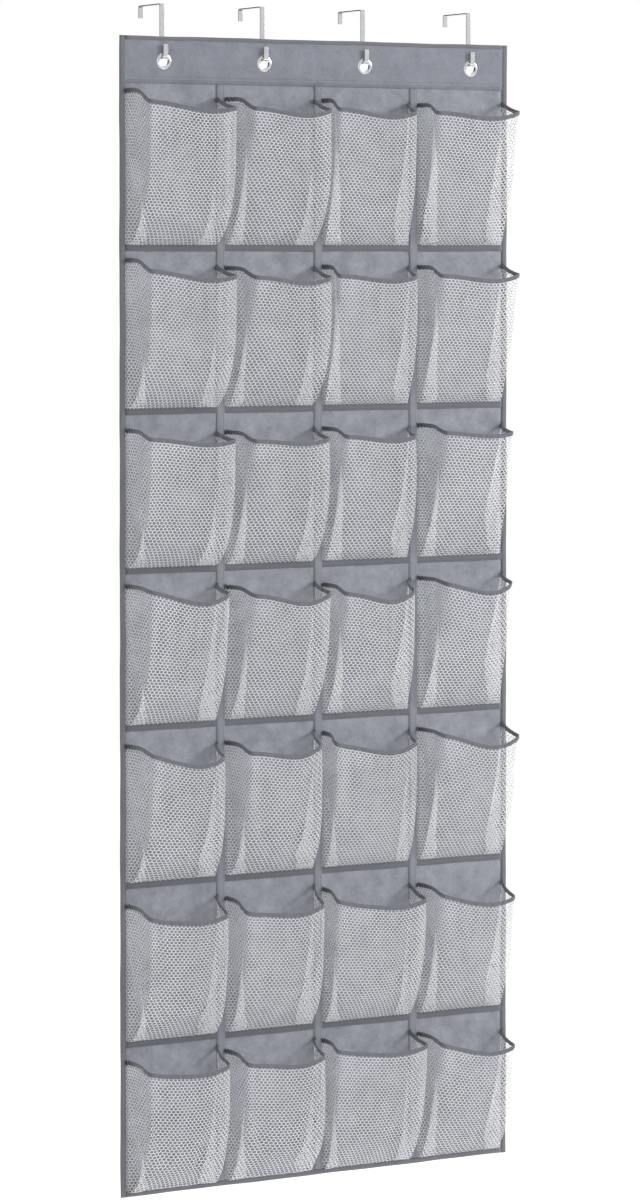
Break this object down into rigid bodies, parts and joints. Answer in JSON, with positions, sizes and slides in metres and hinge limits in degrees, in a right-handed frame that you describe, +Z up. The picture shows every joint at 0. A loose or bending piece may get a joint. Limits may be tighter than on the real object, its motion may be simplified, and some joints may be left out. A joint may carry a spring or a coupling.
{
  "type": "over-the-door shoe organizer",
  "caption": "Hanging fabric organizer with a grid of mesh pockets for shoes, held over a door by flat metal hooks through grommets in its header.",
  "frame": {"origin": "top front edge of the door it hangs on, at the middle of the organizer's width", "axes": "+X along the door to the viewer's right, +Y back through the door, +Z up; the pockets face -Y"},
  "size_m": [0.5816, 0.1339, 1.5443],
  "materials": {
    "nonwoven": "blue-grey non-woven polypropylene, matt, slightly mottled",
    "tape": "dark grey woven edging tape, stitched",
    "pocket_mesh": "light grey knitted polyester mesh with small holes",
    "polished_metal": "bright nickel plate"
  },
  "bodies": {
    "organizer": {"back_panel": "nonwoven", "header_band": "nonwoven", "top_binding": "tape", "bottom_binding": "tape", "left_binding": "tape", "right_binding": "tape", "row_tape_1": "tape", "row_tape_2": "tape", "row_tape_3": "tape", "row_tape_4": "tape", "row_tape_5": "tape", "row_tape_6": "tape", "column_tape_1": "tape", "column_tape_2": "tape", "column_tape_3": "tape", "pocket_r1_c1": "pocket_mesh", "pocket_r1_c2": "pocket_mesh", "pocket_r1_c3": "pocket_mesh", "pocket_r1_c4": "pocket_mesh", "pocket_r2_c1": "pocket_mesh", "pocket_r2_c2": "pocket_mesh", "pocket_r2_c3": "pocket_mesh", "pocket_r2_c4": "pocket_mesh", "pocket_r3_c1": "pocket_mesh", "pocket_r3_c2": "pocket_mesh", "pocket_r3_c3": "pocket_mesh", "pocket_r3_c4": "pocket_mesh", "pocket_r4_c1": "pocket_mesh", "pocket_r4_c2": "pocket_mesh", "pocket_r4_c3": "pocket_mesh", "pocket_r4_c4": "pocket_mesh", "pocket_r5_c1": "pocket_mesh", "pocket_r5_c2": "pocket_mesh", "pocket_r5_c3": "pocket_mesh", "pocket_r5_c4": "pocket_mesh", "pocket_r6_c1": "pocket_mesh", "pocket_r6_c2": "pocket_mesh", "pocket_r6_c3": "pocket_mesh", "pocket_r6_c4": "pocket_mesh", "pocket_r7_c1": "pocket_mesh", "pocket_r7_c2": "pocket_mesh", "pocket_r7_c3": "pocket_mesh", "pocket_r7_c4": "pocket_mesh", "mouth_binding_row_1": "tape", "mouth_binding_row_2": "tape", "mouth_binding_row_3": "tape", "mouth_binding_row_4": "tape", "mouth_binding_row_5": "tape", "mouth_binding_row_6": "tape", "mouth_binding_row_7": "tape", "grommet_eyelets": "polished_metal", "grommet_washers": "polished_metal"},
    "hook_1": {"hook_1": "polished_metal"},
    "hook_2": {"hook_2": "polished_metal"},
    "hook_3": {"hook_3": "polished_metal"},
    "hook_4": {"hook_4": "polished_metal"}
  },
  "joints": [
    {"name": "hook_1_swivel", "type": "hinge", "parent": "organizer", "child": "hook_1", "pos_m": [-0.227, -0.00625, -0.0735], "axis": [0, 0, 1], "range_deg": [-20, 20]},
    {"name": "hook_2_swivel", "type": "hinge", "parent": "organizer", "child": "hook_2", "pos_m": [-0.08, -0.00625, -0.0735], "axis": [0, 0, 1], "range_deg": [-20, 20]},
    {"name": "hook_3_swivel", "type": "hinge", "parent": "organizer", "child": "hook_3", "pos_m": [0.071, -0.00625, -0.0735], "axis": [0, 0, 1], "range_deg": [-20, 20]},
    {"name": "hook_4_swivel", "type": "hinge", "parent": "organizer", "child": "hook_4", "pos_m": [0.234, -0.00625, -0.0735], "axis": [0, 0, 1], "range_deg": [-20, 20]}
  ]
}
